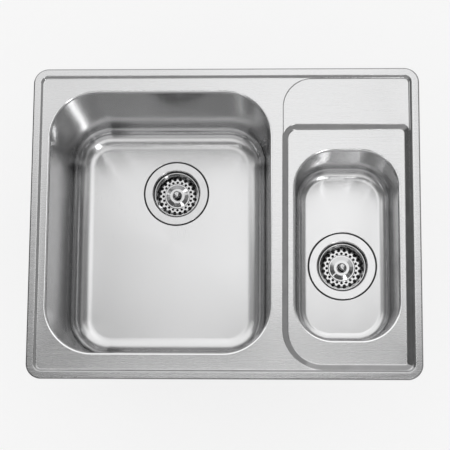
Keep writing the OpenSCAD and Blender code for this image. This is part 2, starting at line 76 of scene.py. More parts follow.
# The strainers, with heights from the bowl's floor
FLANGE_R, HOLE_R, CUP_R, SEAT_DROP = 57.0, 45.0, 41.2, 2.6
SEAT_OUT = FLANGE_R + 2
CUP_FLOOR_Z, CUP_HOLE_R = -37.5, 24.5
SPIDER_L, SPIDER_W, SPIDER_LOW, SPIDER_HIGH = 54.8, 4.0, -41.4, -38.6
BASKET_R, BASKET_Z, BASKET_H, BASKET_T = 39.5, -6.5, 16.0, 0.8
BASKET_FLOOR_Z = BASKET_Z - BASKET_H
DISH_Z = -28.5
BASKET_COLS = 160
HOLES = 20
POST_R = 5.8

# The waste tails, with heights from the bowl's floor
NECK_R, TAIL_R, BORE_R = 26.5, 23.9, 20.5
TAIL_TOP, THREAD_TOP, THREAD_END, TAIL_END = -59.5, -75.5, -98.9, -99.5
THREAD_PITCH, THREAD_DEPTH = 2.309, 0.95
TAIL_COLS, TAIL_ROWS = 96, 105


# Geometry helpers
def unit(v):
    return v / np.linalg.norm(v)


def turned(v, a):
    c, s = math.cos(a), math.sin(a)
    return np.array([c * v[0] - s * v[1], s * v[0] + c * v[1]])


def rounded_path(points, radii, steps=10, longest=None):
    """Path with rounded corners: its points and its unit tangents."""
    pts = [np.array(p, float) for p in points]
    out = [(pts[0], unit(pts[1] - pts[0]))]
    for i in range(1, len(pts) - 1):
        d0, d1 = unit(pts[i] - pts[i - 1]), unit(pts[i + 1] - pts[i])
        turn = math.atan2(d0[0] * d1[1] - d0[1] * d1[0], float(d0 @ d1))
        if radii[i - 1] <= 0:
            out += [(pts[i], d0), (pts[i], d1)]
            continue
        start = pts[i] - d0 * radii[i - 1] * math.tan(abs(turn) / 2)
        side = np.array([-d0[1], d0[0]]) * (1 if turn > 0 else -1)
        centre = start + side * radii[i - 1]
        n = max(3, int(round(steps * abs(turn) / (math.pi / 2))) + 1)
        out += [(centre + turned(start - centre, turn * j / n), turned(d0, turn * j / n)) for j in range(n + 1)]
    out.append((pts[-1], unit(pts[-1] - pts[-2])))
    if longest:
        fine = [out[0]]
        for a, b in zip(out, out[1:]):
            length = np.linalg.norm(b[0] - a[0])
            straight = length > longest and float(a[1] @ b[1]) > 0.99999
            k = int(length / longest) + 1 if straight else 1
            fine += [(a[0] + (b[0] - a[0]) * j / k, b[1]) for j in range(1, k)] + [b]
        out = fine
    return np.array([p for p, _ in out]), np.array([t for _, t in out])


def grown(b, g):
    """The rounded box b with its sides moved out by g."""
    return [b[0] - g, b[1] + g, b[2] - g, b[3] + g, [max(r + g, 0.0) for r in b[4]]]


def box_outline(b, seg=20, step=20.0):
    """Points on a rounded box and their outward directions."""
    r = b[4]
    corners = [
        ((b[1] - r[0], b[3] - r[0]), r[0]), ((b[0] + r[1], b[3] - r[1]), r[1]),
        ((b[0] + r[2], b[2] + r[2]), r[2]), ((b[1] - r[3], b[2] + r[3]), r[3]),
    ]
    p, d = [], []
    for i, (c, rad) in enumerate(corners):
        for j in range(seg + 1):
            a = math.pi / 2 * (i + j / seg)
            d.append((math.cos(a), math.sin(a)))
            p.append((c[0] + rad * d[-1][0], c[1] + rad * d[-1][1]))
        next_c, next_r = corners[(i + 1) % 4]
        start, end = p[-1], (next_c[0] + next_r * d[-1][0], next_c[1] + next_r * d[-1][1])
        n = int(math.dist(start, end) / step)
        for k in range(1, n + 1):
            t = k / (n + 1)
            p.append((start[0] + (end[0] - start[0]) * t, start[1] + (end[1] - start[1]) * t))
            d.append(d[-1])
    return np.array(p), np.array(d)


def circle_outline(centre, n=96):
    """A point n times over and its outward directions, for sections that give the radius."""
    a = np.arange(n) * 2 * math.pi / n
    return np.tile(np.array(centre, float), (n, 1)), np.stack([np.cos(a), np.sin(a)], 1)


class Piece:
    """Collects faces with their own corner normals, and welds them into one mesh."""

    def __init__(self):
        self.corners, self.normals, self.slots, self.sizes = [], [], [], []

    def faces(self, v, n, idx, slot=0, flip=False):
        idx = np.asarray(idx)
        if flip:
            idx = idx[:, ::-1]
        self.corners.append(v[idx].reshape(-1, 3))
        self.normals.append(n[idx].reshape(-1, 3))
        self.sizes.append(np.full(len(idx), idx.shape[1]))
        self.slots.append(np.full(len(idx), slot))

    def oriented(self, v, n, idx, slot=0):
        """Faces turned so that each agrees with its own normals."""
        idx = np.asarray(idx)
        a, b, c = v[idx[:, 0]], v[idx[:, 1]], v[idx[:, -1]]
        if idx.shape[1] == 4:
            face = np.cross(v[idx[:, 2]] - a, c - b)
        else:
            face = np.cross(b - a, c - a)
        agree = np.einsum("ij,ij->i", face, n[idx].mean(1)) >= 0
        if agree.any():
            self.faces(v, n, idx[agree], slot)
        if (~agree).any():
            self.faces(v, n, idx[~agree], slot, flip=True)

    def grid(self, v, n, slot=0):
        """Quads over a (rows, columns, 3) array of points. The last row joins the first."""
        rows, cols = v.shape[:2]
        i, j = np.meshgrid(np.arange(rows), np.arange(cols - 1), indexing="ij")
        k = (i + 1) % rows
        idx = np.stack([i * cols + j, k * cols + j, k * cols + j + 1, i * cols + j + 1], -1).reshape(-1, 4)
        self.oriented(v.reshape(-1, 3), n.reshape(-1, 3), idx, slot)

    def strip(self, a, b, normal, slot=0):
        """Wall between two closed rows of points, with the same normals on both."""
        self.grid(np.stack([a, b], 1), np.stack([normal, normal], 1), slot)

    def build(self, name, materials, body, node, slot):
        """Welds equal corners, drops faces that fall together, and keeps the corner normals."""
        corner = np.concatenate(self.corners)
        normal = np.concatenate(self.normals)
        sizes = np.concatenate(self.sizes)
        slots = np.concatenate(self.slots)
        keys = np.round(corner * 500 + 0.3173).astype(np.int64)
        _, first, inverse = np.unique(keys, axis=0, return_index=True, return_inverse=True)
        inverse = inverse.reshape(-1)
        starts = np.concatenate([[0], np.cumsum(sizes)[:-1]])
        faces, keep_normals, keep_slots = [], [], []
        for s, k, m in zip(starts.tolist(), sizes.tolist(), slots.tolist()):
            ids, seen = [], set()
            for j in range(s, s + k):
                key = int(inverse[j])
                if key not in seen:
                    seen.add(key)
                    ids.append(j)
            if len(ids) > 2:
                faces.append([int(inverse[j]) for j in ids])
                keep_normals += ids
                keep_slots.append(m)
        mesh = bpy.data.meshes.new(name)
        mesh.from_pydata((corner[first] * 0.001).tolist(), [], faces)
        for m in materials:
            mesh.materials.append(m)
        mesh.polygons.foreach_set("material_index", keep_slots)
        mesh.polygons.foreach_set("use_smooth", [True] * len(faces))
        picked = normal[keep_normals]
        picked = picked / np.maximum(np.linalg.norm(picked, axis=1, keepdims=True), 1e-9)
        mesh.normals_split_custom_set([tuple(v) for v in picked.tolist()])
        mesh.update()
        obj = bpy.data.objects.new(name, mesh)
        bpy.context.scene.collection.objects.link(obj)
        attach(obj, body)
        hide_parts(node)


def swept(outline, path, tangents, z0=0.0):
    """Points and normals of a section swept round an outline. The normals lie right of the path."""
    p, d = outline
    u, z = path[:, 0], path[:, 1]
    xy = p[:, None, :] + u[None, :, None] * d[:, None, :]
    v = np.concatenate([xy, np.broadcast_to(z[None, :, None] + z0, xy.shape[:2] + (1,))], -1)
    nu, nz = tangents[:, 1], -tangents[:, 0]
    nxy = nu[None, :, None] * d[:, None, :]
    n = np.concatenate([nxy, np.broadcast_to(nz[None, :, None], nxy.shape[:2] + (1,))], -1)
    return v, n


def shell(piece, v, n, top=0, under=1, ends=(True, True)):
    """A sheet: its face, its back at the sheet's thickness behind the normals, and its two edges."""
    back = v - SHEET * n
    piece.grid(v, n, top)
    piece.grid(back, -n, under)
    for end, inner, on in ((0, 1, ends[0]), (-1, -2, ends[1])):
        if on:
            away = v[:, end] - v[:, inner]
            away /= np.maximum(np.linalg.norm(away, axis=1, keepdims=True), 1e-9)
            piece.strip(v[:, end], back[:, end], away, under)


class Sheet:
    """Revolved sheet whose section is a path. It gives points by length along the path and by angle."""

    def __init__(self, centre, path, tangents, t, z0, columns):
        self.c, self.t, self.z0 = centre, t, z0
        self.path, self.tan, self.columns = path, tangents, columns
        self.s = np.concatenate([[0], np.cumsum(np.linalg.norm(np.diff(path, axis=0), axis=1))])
        self.angles = np.arange(columns) * 2 * math.pi / columns

    def at(self, s, a):
        u, z = np.interp(s, self.s, self.path[:, 0]), np.interp(s, self.s, self.path[:, 1])
        tu, tz = np.interp(s, self.s, self.tan[:, 0]), np.interp(s, self.s, self.tan[:, 1])
        k = np.hypot(tu, tz)
        v = np.stack([self.c[0] + u * np.cos(a), self.c[1] + u * np.sin(a), z + self.z0], -1)
        n = np.stack([tz / k * np.cos(a), tz / k * np.sin(a), -tu / k], -1)
        return v, n

    def plain(self, piece, s0, s1, slot=0):
        """Band of the sheet from length s0 to s1."""
        stops = np.array([s0] + [float(q) for q in self.s if s0 + 0.02 < q < s1 - 0.02] + [s1])
        v, n = self.at(stops[None, :] + 0 * self.angles[:, None], self.angles[:, None] + 0 * stops[None, :])
        piece.grid(v, n, slot)
        piece.grid(v - self.t * n, -n, slot)

    def holed(self, piece, s0, s1, offset, half_s, half_t, slot=0):
        """Band of the sheet with a row of oval holes, from length s0 to s1."""
        cell = 2 * math.pi / HOLES
        side = np.linspace(-1, 1, self.columns // HOLES + 1)[:-1]
        border = np.array(
            [(-1, q) for q in side] + [(q, 1) for q in side] + [(1, -q) for q in side] + [(-q, -1) for q in side])
        mid = (s0 + s1) / 2
        radius = float(np.interp(mid, self.s, self.path[:, 0]))
        ang = np.arctan2(border[:, 1], border[:, 0])
        oval = np.stack([half_s / ((s1 - s0) / 2) * np.cos(ang), half_t / (radius * cell / 2) * np.sin(ang)], 1)
        k = len(border)
        j = np.arange(k)
        idx = np.concatenate([np.stack([o + j, o + (j + 1) % k, o + k + (j + 1) % k, o + k + j], 1) for o in (0, k)])
        for i in range(HOLES):
            mid_a = (i + offset) * cell
            rings = []
            for w in (0.0, 0.55, 1.0):
                q = border * (1 - w) + oval * w
                rings.append(self.at(mid + q[:, 0] * (s1 - s0) / 2, mid_a + q[:, 1] * cell / 2))
            v, n = np.concatenate([r[0] for r in rings]), np.concatenate([r[1] for r in rings])
            piece.oriented(v, n, idx, slot)
            piece.oriented(v - self.t * n, -n, idx, slot)
            front, normal = rings[-1]
            inward = front.mean(0) - front
            inward /= np.linalg.norm(inward, axis=1, keepdims=True)
            piece.strip(front, front - self.t * normal, inward, slot)

    def edge(self, piece, s, outward):
        """Edge of the sheet at length s. The sign of outward says which way along the path it faces."""
        v, n = self.at(np.full(self.columns, s), self.angles)
        tu, tz = np.interp(s, self.s, self.tan[:, 0]) * outward, np.interp(s, self.s, self.tan[:, 1]) * outward
        along = np.stack([tu * np.cos(self.angles), tu * np.sin(self.angles), np.full(self.columns, tz)], -1)
        piece.strip(v, v - self.t * n, along)


def signed_distance(b, x, y):
    """Distance from the side of the rounded box b, negative inside."""
    cx, cy = (b[0] + b[1]) / 2, (b[2] + b[3]) / 2
    hx, hy = (b[1] - b[0]) / 2, (b[3] - b[2]) / 2
    px, py = x - cx, y - cy
    r = np.where(px >= 0, np.where(py >= 0, b[4][0], b[4][3]), np.where(py >= 0, b[4][1], b[4][2]))
    qx, qy = np.abs(px) - hx + r, np.abs(py) - hy + r
    return np.minimum(np.maximum(qx, qy), 0) + np.hypot(np.maximum(qx, 0), np.maximum(qy, 0)) - r


def filled(loops, keep):
    """Triangles between closed loops of points, where keep(x, y) holds."""
    pts, edges = [], []
    for loop in loops:
        o, n = len(pts), len(loop)
        pts += [(float(q[0]), float(q[1])) for q in loop]
        edges += [(o + i, o + (i + 1) % n) for i in range(n)]
    verts, _, faces, orig, _, _ = delaunay_2d_cdt([Vector(q) for q in pts], edges, [], 0, 1e-5)
    xy = np.array([pts[o[0]] if o else (v[0], v[1]) for v, o in zip(verts, orig)])
    tri = np.array([f for f in faces if len(f) == 3])
    mid = xy[tri].mean(1)
    tri = tri[keep(mid[:, 0], mid[:, 1])]
    a, b, c = xy[tri[:, 0]], xy[tri[:, 1]], xy[tri[:, 2]]
    area = (b[:, 0] - a[:, 0]) * (c[:, 1] - a[:, 1]) - (b[:, 1] - a[:, 1]) * (c[:, 0] - a[:, 0])
    return xy, tri[np.abs(area) > 1e-7]


# Materials
def material(name, color, rough, metallic=1.0, aniso=0.0, spec=0.5):
    m = bpy.data.materials.new(name)
    m.use_nodes = True
    nt = m.node_tree
    b = nt.nodes["Principled BSDF"]
    b.inputs["Base Color"].default_value = (*color, 1)
    b.inputs["Roughness"].default_value = rough
    b.inputs["Metallic"].default_value = metallic
    b.inputs["Anisotropic"].default_value = aniso
    b.inputs["Specular IOR Level"].default_value = spec
    return m, nt, b


def noise(nt, scale, detail=3.0, stretch=(1, 1, 1), rough=0.5):
    tc = nt.nodes.new("ShaderNodeTexCoord")
    mp = nt.nodes.new("ShaderNodeMapping")
    mp.inputs["Scale"].default_value = stretch
    tex = nt.nodes.new("ShaderNodeTexNoise")
    tex.inputs["Scale"].default_value = scale
    tex.inputs["Detail"].default_value = detail
    tex.inputs["Roughness"].default_value = rough
    nt.links.new(tc.outputs["Object"], mp.inputs["Vector"])
    nt.links.new(mp.outputs["Vector"], tex.inputs["Vector"])
    return tex.outputs["Fac"]


def ramp(nt, fac, lo, hi, a=0.3, b=0.7):
    """Colour from lo at a to hi at b."""
    r = nt.nodes.new("ShaderNodeValToRGB")
    for element, at, color in zip(r.color_ramp.elements, (a, b), (lo, hi)):
        element.position, element.color = at, (*color, 1)
    nt.links.new(fac, r.inputs["Fac"])
    return r.outputs["Color"]


def between(nt, fac, lo, hi, a=0.3, b=0.7):
    """Value from lo at a to hi at b."""
    mr = nt.nodes.new("ShaderNodeMapRange")
    mr.inputs["From Min"].default_value, mr.inputs["From Max"].default_value = a, b
    mr.inputs["To Min"].default_value, mr.inputs["To Max"].default_value = lo, hi
    nt.links.new(fac, mr.inputs["Value"])
    return mr.outputs["Result"]


def calc(nt, operation, *terms):
    """Math node. Each term is another node's output or a number."""
    node = nt.nodes.new("ShaderNodeMath")
    node.operation = operation
    for socket, term in zip(node.inputs, terms):
        if isinstance(term, (int, float)):
            socket.default_value = term
        else:
            nt.links.new(term, socket)
    return node.outputs[0]


def bumped(nt, bsdf, height, strength, distance):
    bp = nt.nodes.new("ShaderNodeBump")
    bp.inputs["Strength"].default_value = strength
    bp.inputs["Distance"].default_value = distance
    nt.links.new(height, bp.inputs["Height"])
    nt.links.new(bp.outputs["Normal"], bsdf.inputs["Normal"])


def grey(v):
    return (v, v, v * 1.005)


def clouded(name, color, rough, colors, roughs, cloud, bump=None, **looks):
    """Material whose colour and roughness vary with one noise, and with a finer noise as its bump."""
    m, nt, b = material(name, color, rough, **looks)
    fac = noise(nt, *cloud)
    nt.links.new(ramp(nt, fac, *colors), b.inputs["Base Color"])
    nt.links.new(between(nt, fac, *roughs), b.inputs["Roughness"])
    if bump:
        scale, strength, distance = bump
        bumped(nt, b, noise(nt, scale, 2), strength, distance)
    return m


# Brushed deck: grain along X in colour, roughness and bump
deck_steel, nt, b = material("deck_steel", grey(0.77), 0.25, aniso=0.35)
grain = noise(nt, 1.0, 4, (14, 900, 900), 0.65)
nt.links.new(ramp(nt, grain, grey(0.75), grey(0.80), 0.25, 0.75), b.inputs["Base Color"])
nt.links.new(between(nt, grain, 0.21, 0.30), b.inputs["Roughness"])
bumped(nt, b, noise(nt, 1.0, 3, (20, 1400, 1400), 0.6), 0.09, 0.00002)

# Pressed edges and slopes of the deck: rolled smooth, and darker than the deck's steel as painted shade
edge_steel_painted_shade = clouded("edge_steel_painted_shade", grey(0.58), 0.13, (grey(0.55), grey(0.61)), (0.10, 0.16), (40.0, 4))


def bowl_finish(name, floor_z, top_z):
    """Satin bowl: ground floor, smoother drawn walls, and a fine grain along the depth of the pressing. The walls are
    darkened as painted shade, and the lip is lightened as a painted highlight.
    """
    m, nt, b = material(name, grey(0.79), 0.25, aniso=0.55)
    b.inputs["Anisotropic Rotation"].default_value = 0.25
    b.inputs["Specular Tint"].default_value = (0.8, 0.8, 0.8, 1)
    tc = nt.nodes.new("ShaderNodeTexCoord")
    xyz = nt.nodes.new("ShaderNodeSeparateXYZ")
    nt.links.new(tc.outputs["Object"], xyz.inputs[0])

    def by_height(lo, hi, from_mm, to_mm):
        return between(nt, xyz.outputs["Z"], lo, hi, from_mm * 0.001, to_mm * 0.001)

    cloud = noise(nt, 9.0, 4, (1, 1, 1), 0.55)
    satin = noise(nt, 1.0, 4, (900, 30, 900), 0.6)
    mixed = calc(nt, "MULTIPLY_ADD", cloud, 0.5, calc(nt, "MULTIPLY", satin, 0.5))

    # Colour: the walls darkened below the floor's tone as painted shade, and the turned lip lightened as a painted
    # highlight
    painted_wall_shade = by_height(1.0, 0.72, floor_z + 12, floor_z + 40)
    painted_lip_highlight = by_height(0.0, 0.4, top_z - 3.5, top_z - 1.5)
    tone = nt.nodes.new("ShaderNodeVectorMath")
    tone.operation = "SCALE"
    nt.links.new(ramp(nt, mixed, grey(0.84), grey(0.88)), tone.inputs[0])
    nt.links.new(calc(nt, "ADD", painted_wall_shade, painted_lip_highlight), tone.inputs["Scale"])
    nt.links.new(tone.outputs["Vector"], b.inputs["Base Color"])

    # Roughness: the fillet and the walls smoother than the ground floor
    ground = between(nt, mixed, 0.22, 0.28)
    rise = by_height(0.0, 1.0, floor_z + 2, floor_z + 16)
    upper = by_height(0.0, -0.02, floor_z + 45, floor_z + 100)
    smoother = calc(nt, "MULTIPLY_ADD", rise, 0.13, upper)
    nt.links.new(calc(nt, "SUBTRACT", ground, smoother), b.inputs["Roughness"])
    bumped(nt, b, satin, 0.04, 0.00001)
    return m


bowl_steel = {
    name: bowl_finish(f"{name}_bowl_steel", bowl["z"] - bowl["h"], bowl["z"]) for name, bowl in BOWLS.items()}

# Underside of the pressings: unpolished mill finish
under_steel = clouded(
    "under_steel", grey(0.66), 0.36, (grey(0.62), grey(0.70)), (0.30, 0.42),
    (14.0, 5, (1, 1, 1), 0.6), (500.0, 0.1, 0.00003))
# Polished strainer sheet
polished = clouded(
    "strainer_polished", grey(0.74), 0.12, (grey(0.71), grey(0.77)), (0.09, 0.17), (60.0, 4), (300.0, 0.05, 0.00002))
# Wall of the basket, darker than its polished foot as painted shade
basket_wall_painted_shade = clouded("basket_wall_painted_shade", grey(0.3), 0.16, (grey(0.25), grey(0.36)), (0.12, 0.22), (80.0, 4))
# Inside of the cup and neck of the post: rough steel, darkened as painted shade
painted_shade_steel = clouded("painted_shade_steel", grey(0.12), 0.4, (grey(0.10), grey(0.14)), (0.34, 0.48), (80.0, 4, (1, 1, 5)))
zinc = clouded(
    "zinc_plate", (0.60, 0.61, 0.60), 0.38, ((0.54, 0.55, 0.54), (0.66, 0.67, 0.66)), (0.30, 0.48),
    (220.0, 4), (900.0, 0.15, 0.00003))
brass = clouded(
    "turned_brass", (0.72, 0.55, 0.25), 0.28, ((0.66, 0.49, 0.21), (0.76, 0.59, 0.29)), (0.22, 0.36),
    (200.0, 3, (1, 1, 6)))
rubber = clouded(
    "black_rubber", (0.03, 0.03, 0.03), 0.7, ((0.022, 0.022, 0.023), (0.042, 0.042, 0.043)), (0.62, 0.8),
    (120.0, 4), (1500.0, 0.25, 0.00005), metallic=0.0, spec=0.4)
plastic = clouded(
    "white_polypropylene", (0.80, 0.80, 0.78), 0.42, ((0.77, 0.77, 0.75), (0.82, 0.82, 0.80)), (0.36, 0.5),
    (80.0, 4), (1200.0, 0.15, 0.00004), metallic=0.0)

foam, nt, b = material("foam_strip", (0.06, 0.06, 0.06), 0.95, metallic=0.0, spec=0.2)
cells = noise(nt, 1800.0, 2)
nt.links.new(ramp(nt, cells, (0.035, 0.035, 0.036), (0.09, 0.09, 0.092), 0.35, 0.65), b.inputs["Base Color"])
bumped(nt, b, cells, 0.6, 0.0002)

# Deck: its height is a sum of steps, each a rounded section over the distance from a rounded box.
# Faces whose normal rises less than FLAT_NORMAL are slopes, and points closer than CLOSEST make no ring of their own.
FLAT_NORMAL, CLOSEST = 0.975, 0.16
rim_step = rounded_path([(-20, DECK_H), (0, DECK_H), (3, RIM_H), (20, RIM_H)], [2.6, 2.4], 14)
recess_high = rounded_path([(-20, RECESS_Z), (0, RECESS_Z), (RECESS_RUN, DECK_H), (40, DECK_H)], [3.5, 2.6], 14)
recess_low = rounded_path([(-20, RECESS_Z), (0, RECESS_Z), (LEDGE_RUN, LEDGE_Z), (40, LEDGE_Z)], [3.5, 2.6], 14)
ledge_step = rounded_path([(-20, -1), (0, -1), (1.2, 0), (20, 0)], [0.5, 0.5], 8)


def level(path, d):
    return np.interp(d, path[0][:, 0], path[0][:, 1])


def deck_z(x, y):
    rim = level(rim_step, signed_distance(DECK, x, y))
    w = -level(ledge_step, signed_distance(LEDGE, x, y))
    d = signed_distance(RECESS, x, y)
    return rim - DECK_H + (1 - w) * level(recess_high, d) + w * level(recess_low, d)


def deck_normals(x, y, e=0.02):
    gx = (deck_z(x + e, y) - deck_z(x - e, y)) / (2 * e)
    gy = (deck_z(x, y + e) - deck_z(x, y - e)) / (2 * e)
    n = np.stack([-gx, -gy, np.ones_like(gx)], -1)
    return n / np.linalg.norm(n, axis=-1, keepdims=True)


def ring(b, d):
    """Points at distance d outside the rounded box b."""
    p, n = box_outline(b)
    return p + d * n


def bends(path, digits):
    """Distances of a section's inner points."""
    return np.round(path[0][1:-1, 0], digits)


def on_deck(x, y):
    inside = signed_distance(RIM, x, y) < -EDGE_R
    for bowl in BOWLS.values():
        inside &= signed_distance(bowl["box"], x, y) > 0
    return inside


rim_outline = box_outline(RIM)
bowl_outlines = {name: box_outline(bowl["box"]) for name, bowl in BOWLS.items()}
loops = [rim_outline[0] - EDGE_R * rim_outline[1]]
loops += [ring(RIM, u - RIM_W) for u in sorted(set(bends(rim_step, 3))) if u < RIM_W - 2.5]
loops += [ring(RIM, u) for u in (-4.0, -8.0)]
offsets = sorted(set(bends(recess_high, 2)) | set(bends(recess_low, 2)))
thinned = [offsets[0]]
for u in offsets[1:]:
    if u - thinned[-1] > CLOSEST:
        thinned.append(u)
loops += [ring(RECESS, u) for u in thinned]
loops += [ring(LEDGE, u) for u in sorted(set(bends(ledge_step, 3)))]
loops += [outline[0] for outline in bowl_outlines.values()]

xy, tri = filled(loops, on_deck)
top = np.column_stack([xy, deck_z(xy[:, 0], xy[:, 1])])
top_n = deck_normals(xy[:, 0], xy[:, 1])
deck = Piece()
steep = top_n[tri].mean(1)[:, 2] < FLAT_NORMAL
deck.oriented(top, top_n, tri[~steep], 0)
# Slopes take the edge steel, whose darker colour is painted shade
deck.oriented(top, top_n, tri[steep], 2)
deck.oriented(top - SHEET * top_n, -top_n, tri, 1)
edge, edge_t = rounded_path([(0, 0.25), (0, RIM_H - 1.4), (-2.0, RIM_H), (-EDGE_R, RIM_H)], [0.5, 0.6], 14)
shell(deck, *swept(rim_outline, edge, edge_t), 2, 1, ends=(True, False))
for p, out in bowl_outlines.values():
    z = deck_z(p[:, 0], p[:, 1])
    deck.strip(np.column_stack([p, z]), np.column_stack([p, z - SHEET]), np.column_stack([-out, np.zeros(len(p))]), 1)
deck.build("deck_pressing", [deck_steel, under_steel, edge_steel_painted_shade], "sink", "sink_deck", "steel")


def build_bowl(name, bowl, floor_z):
    """Drafted bowl with its floor and the sunk seat of the strainer."""
    outline, h, fillet = bowl_outlines[name], bowl["h"], bowl["fillet"]
    foot = LIP_RUN + h * math.tan(DRAFT)
    reach = foot + fillet * math.tan((math.pi / 2 - DRAFT) / 2)
    path, tan = rounded_path([(0, 0), (-LIP_RUN, 0), (-foot, -h), (-reach, -h)], [LIP_R, fillet], 22, longest=12)
    piece = Piece()
    shell(piece, *swept(outline, path, tan, bowl["z"]), ends=(True, False))

    circle = circle_outline(bowl["drain"])
    floor_box = grown(bowl["box"], -reach)
    dx, dy = bowl["drain"]
    xy, tri = filled(
        [outline[0] - reach * outline[1], circle[0] + SEAT_OUT * circle[1]],
        lambda x, y: (signed_distance(floor_box, x, y) < 0) & (np.hypot(x - dx, y - dy) > SEAT_OUT - 0.04),
    )
    flat = np.column_stack([xy, np.full(len(xy), floor_z)])
    up = np.tile([0.0, 0.0, 1.0], (len(xy), 1))
    piece.oriented(flat, up, tri, 0)
    piece.oriented(flat - [0, 0, SHEET], -up, tri, 1)

    seat, seat_t = rounded_path(
        [(SEAT_OUT, 0), (FLANGE_R + 0.9, 0), (FLANGE_R + 0.6, -SEAT_DROP), (HOLE_R, -SEAT_DROP)], [1.2, 1.0], 8)
    shell(piece, *swept(circle, seat, seat_t, floor_z), ends=(False, True))
    piece.build(f"{name}_bowl_pressing", [bowl_steel[name], under_steel], "sink", f"{name}_bowl", "steel")


def build_cup(name, bowl, floor_z):
    """Strainer flange and cup, with a cross of two bars and its hub under the cup."""
    centre = circle_outline(bowl["drain"], 128)
    dx, dy = bowl["drain"]
    cup = Piece()
    path, tan = rounded_path(
        [(FLANGE_R - 1.1, -2.2), (FLANGE_R - 1.1, 0), (CUP_R, 0), (CUP_R, -8), (CUP_R - 3, -8.7),
         (CUP_R - 5, CUP_FLOOR_Z), (CUP_HOLE_R, CUP_FLOOR_Z)],
        [0.7, 2.4, 1, 1.5, 3], 10, longest=6)
    v, n = swept(centre, path, tan, floor_z)
    lower = int(np.argmax((path[:, 0] < 50) & (path[:, 1] < -2.3)))
    shell(cup, v[:, :lower + 1], n[:, :lower + 1], 0, 0, ends=(True, False))
    # Below the flange the cup's inside takes the darkened steel, as painted shade
    shell(cup, v[:, lower:], n[:, lower:], 1, 0, ends=(False, True))

    half_l, half_w = SPIDER_L / 2, SPIDER_W / 2
    for a in (0, math.pi / 2):
        c, s = math.cos(a), math.sin(a)
        bar = np.array([
            [x * c - y * s + dx, x * s + y * c + dy, z + floor_z] for z in (SPIDER_LOW, SPIDER_HIGH)
            for x, y in ((-half_l, -half_w), (half_l, -half_w), (half_l, half_w), (-half_l, half_w))])
        sides = (
            ((0, 3, 2, 1), (0, 0, -1)), ((4, 5, 6, 7), (0, 0, 1)), ((0, 1, 5, 4), (s, -c, 0)),
            ((2, 3, 7, 6), (-s, c, 0)), ((1, 2, 6, 5), (c, s, 0)), ((3, 0, 4, 7), (-c, -s, 0)))
        for quad, normal in sides:
            cup.oriented(bar, np.tile(np.array(normal, float), (8, 1)), [quad])
    hub, hub_t = rounded_path([(3.2, -41.5), (8, -41.5), (8, -37.7), (3.2, -37.7), (3.2, -41.5)], [0.5, 0.6, 0], 4)
    cup.grid(*swept(centre, hub, hub_t, floor_z))
    cup.build(f"{name}_strainer_flange", [polished, painted_shade_steel], "sink", f"{name}_strainer_cup", "polished")


def build_basket(name, bowl, floor_z):
    """Perforated basket: brim, wall and floor with three rows of holes, bead, dome and pit."""
    path, tan = rounded_path(
        [(BASKET_R, -8.0), (BASKET_R, BASKET_Z), (37.9, BASKET_Z), (31.9, BASKET_FLOOR_Z), (22.9, BASKET_FLOOR_Z),
         (22.2, -21.2), (20.2, -21.2), (13.0, -19.1), (8.0, -19.1), (7.0, DISH_Z), (4.06, DISH_Z)],
        [0.5, 0.6, 2.2, 0.5, 0.55, 1.0, 1.5, 0.7, 0.4], 8)
    sheet = Sheet(bowl["drain"], path, tan, BASKET_T, floor_z, BASKET_COLS)
    basket = Piece()
    flat = min(i for i in range(len(path)) if abs(path[i, 1] - BASKET_FLOOR_Z) < 1e-3)
    last = float(sheet.s[-1])
    row_c = sheet.s[flat] + path[flat, 0] - 23.0
    row_b = row_c - 4.6
    row_a = row_b - 6.4
    wall_a = row_a - 6.6
    brim = float(sheet.s[np.argmax((path[:, 1] < -8.2) & (sheet.s > 3))])
    sheet.plain(basket, 0.0, brim)
    # The wall and its first row of holes take the darker steel, as painted shade
    sheet.plain(basket, brim, wall_a, 1)
    sheet.holed(basket, wall_a, row_a, 0.0, 2.7, 3.5, 1)
    sheet.holed(basket, row_a, row_b, 0.5, 2.8, 3.0)
    sheet.holed(basket, row_b, row_c, 0.0, 2.1, 2.4)
    sheet.plain(basket, row_c, last)
    sheet.edge(basket, 0.0, -1)
    sheet.edge(basket, last, 1)
    basket.build(
        f"{name}_basket_perforated", [polished, basket_wall_painted_shade], f"{name}_strainer_basket", f"{name}_basket", "polished")


def build_gasket(name, bowl, floor_z):
    """Gasket with its edge squeezed out round the flange."""
    circle = circle_outline(bowl["drain"])
    path, tan = rounded_path(
        [(45.2, -2.58), (57.55, -2.58), (58.3, -0.45), (56.5, -0.3), (56.2, -2.2), (45.2, -2.2)],
        [0.3, 0.4, 0.2, 0.1], 4)
    v, n = swept(circle, path, tan, floor_z)
    gasket = Piece()
    gasket.grid(v, n)
    gasket.strip(v[:, 0], v[:, -1], np.column_stack([-circle[1], np.zeros(len(v))]))
    gasket.build(f"{name}_gasket_lip", [rubber], "sink", f"{name}_cup_gasket", "rubber")


def build_post(name, bowl, floor_z):
    """Lifting post with a domed and dimpled head. Its neck has the cup's darkened steel, as painted shade."""
    path, tan = rounded_path(
        [(0, -33.3), (4, -33.3), (4, -28.3), (6.4, -28.3), (6.4, -25.1), (5.1, -23.9), (5.1, -13), (POST_R, -11.5),
         (POST_R, 0), (1.0, 0), (0.8, -0.7), (0, -0.7)],
        [0.3, 0.2, 0.5, 0.8, 0.5, 0.8, 0.6, 3.6, 0.3, 0.2], 10, longest=3)
    v, n = swept(circle_outline(bowl["drain"], 64), path, tan, floor_z)
    neck = int(np.argmax(path[:, 1] > -23.8))
    head = int(np.argmax(path[:, 1] > -4.2))
    post = Piece()
    post.grid(v[:, :neck + 1], n[:, :neck + 1])
    post.grid(v[:, neck:head + 1], n[:, neck:head + 1], 1)
    post.grid(v[:, head:], n[:, head:])
    post.build(f"{name}_post_turned", [polished, painted_shade_steel], f"{name}_plug", f"{name}_plug_post", "polished")


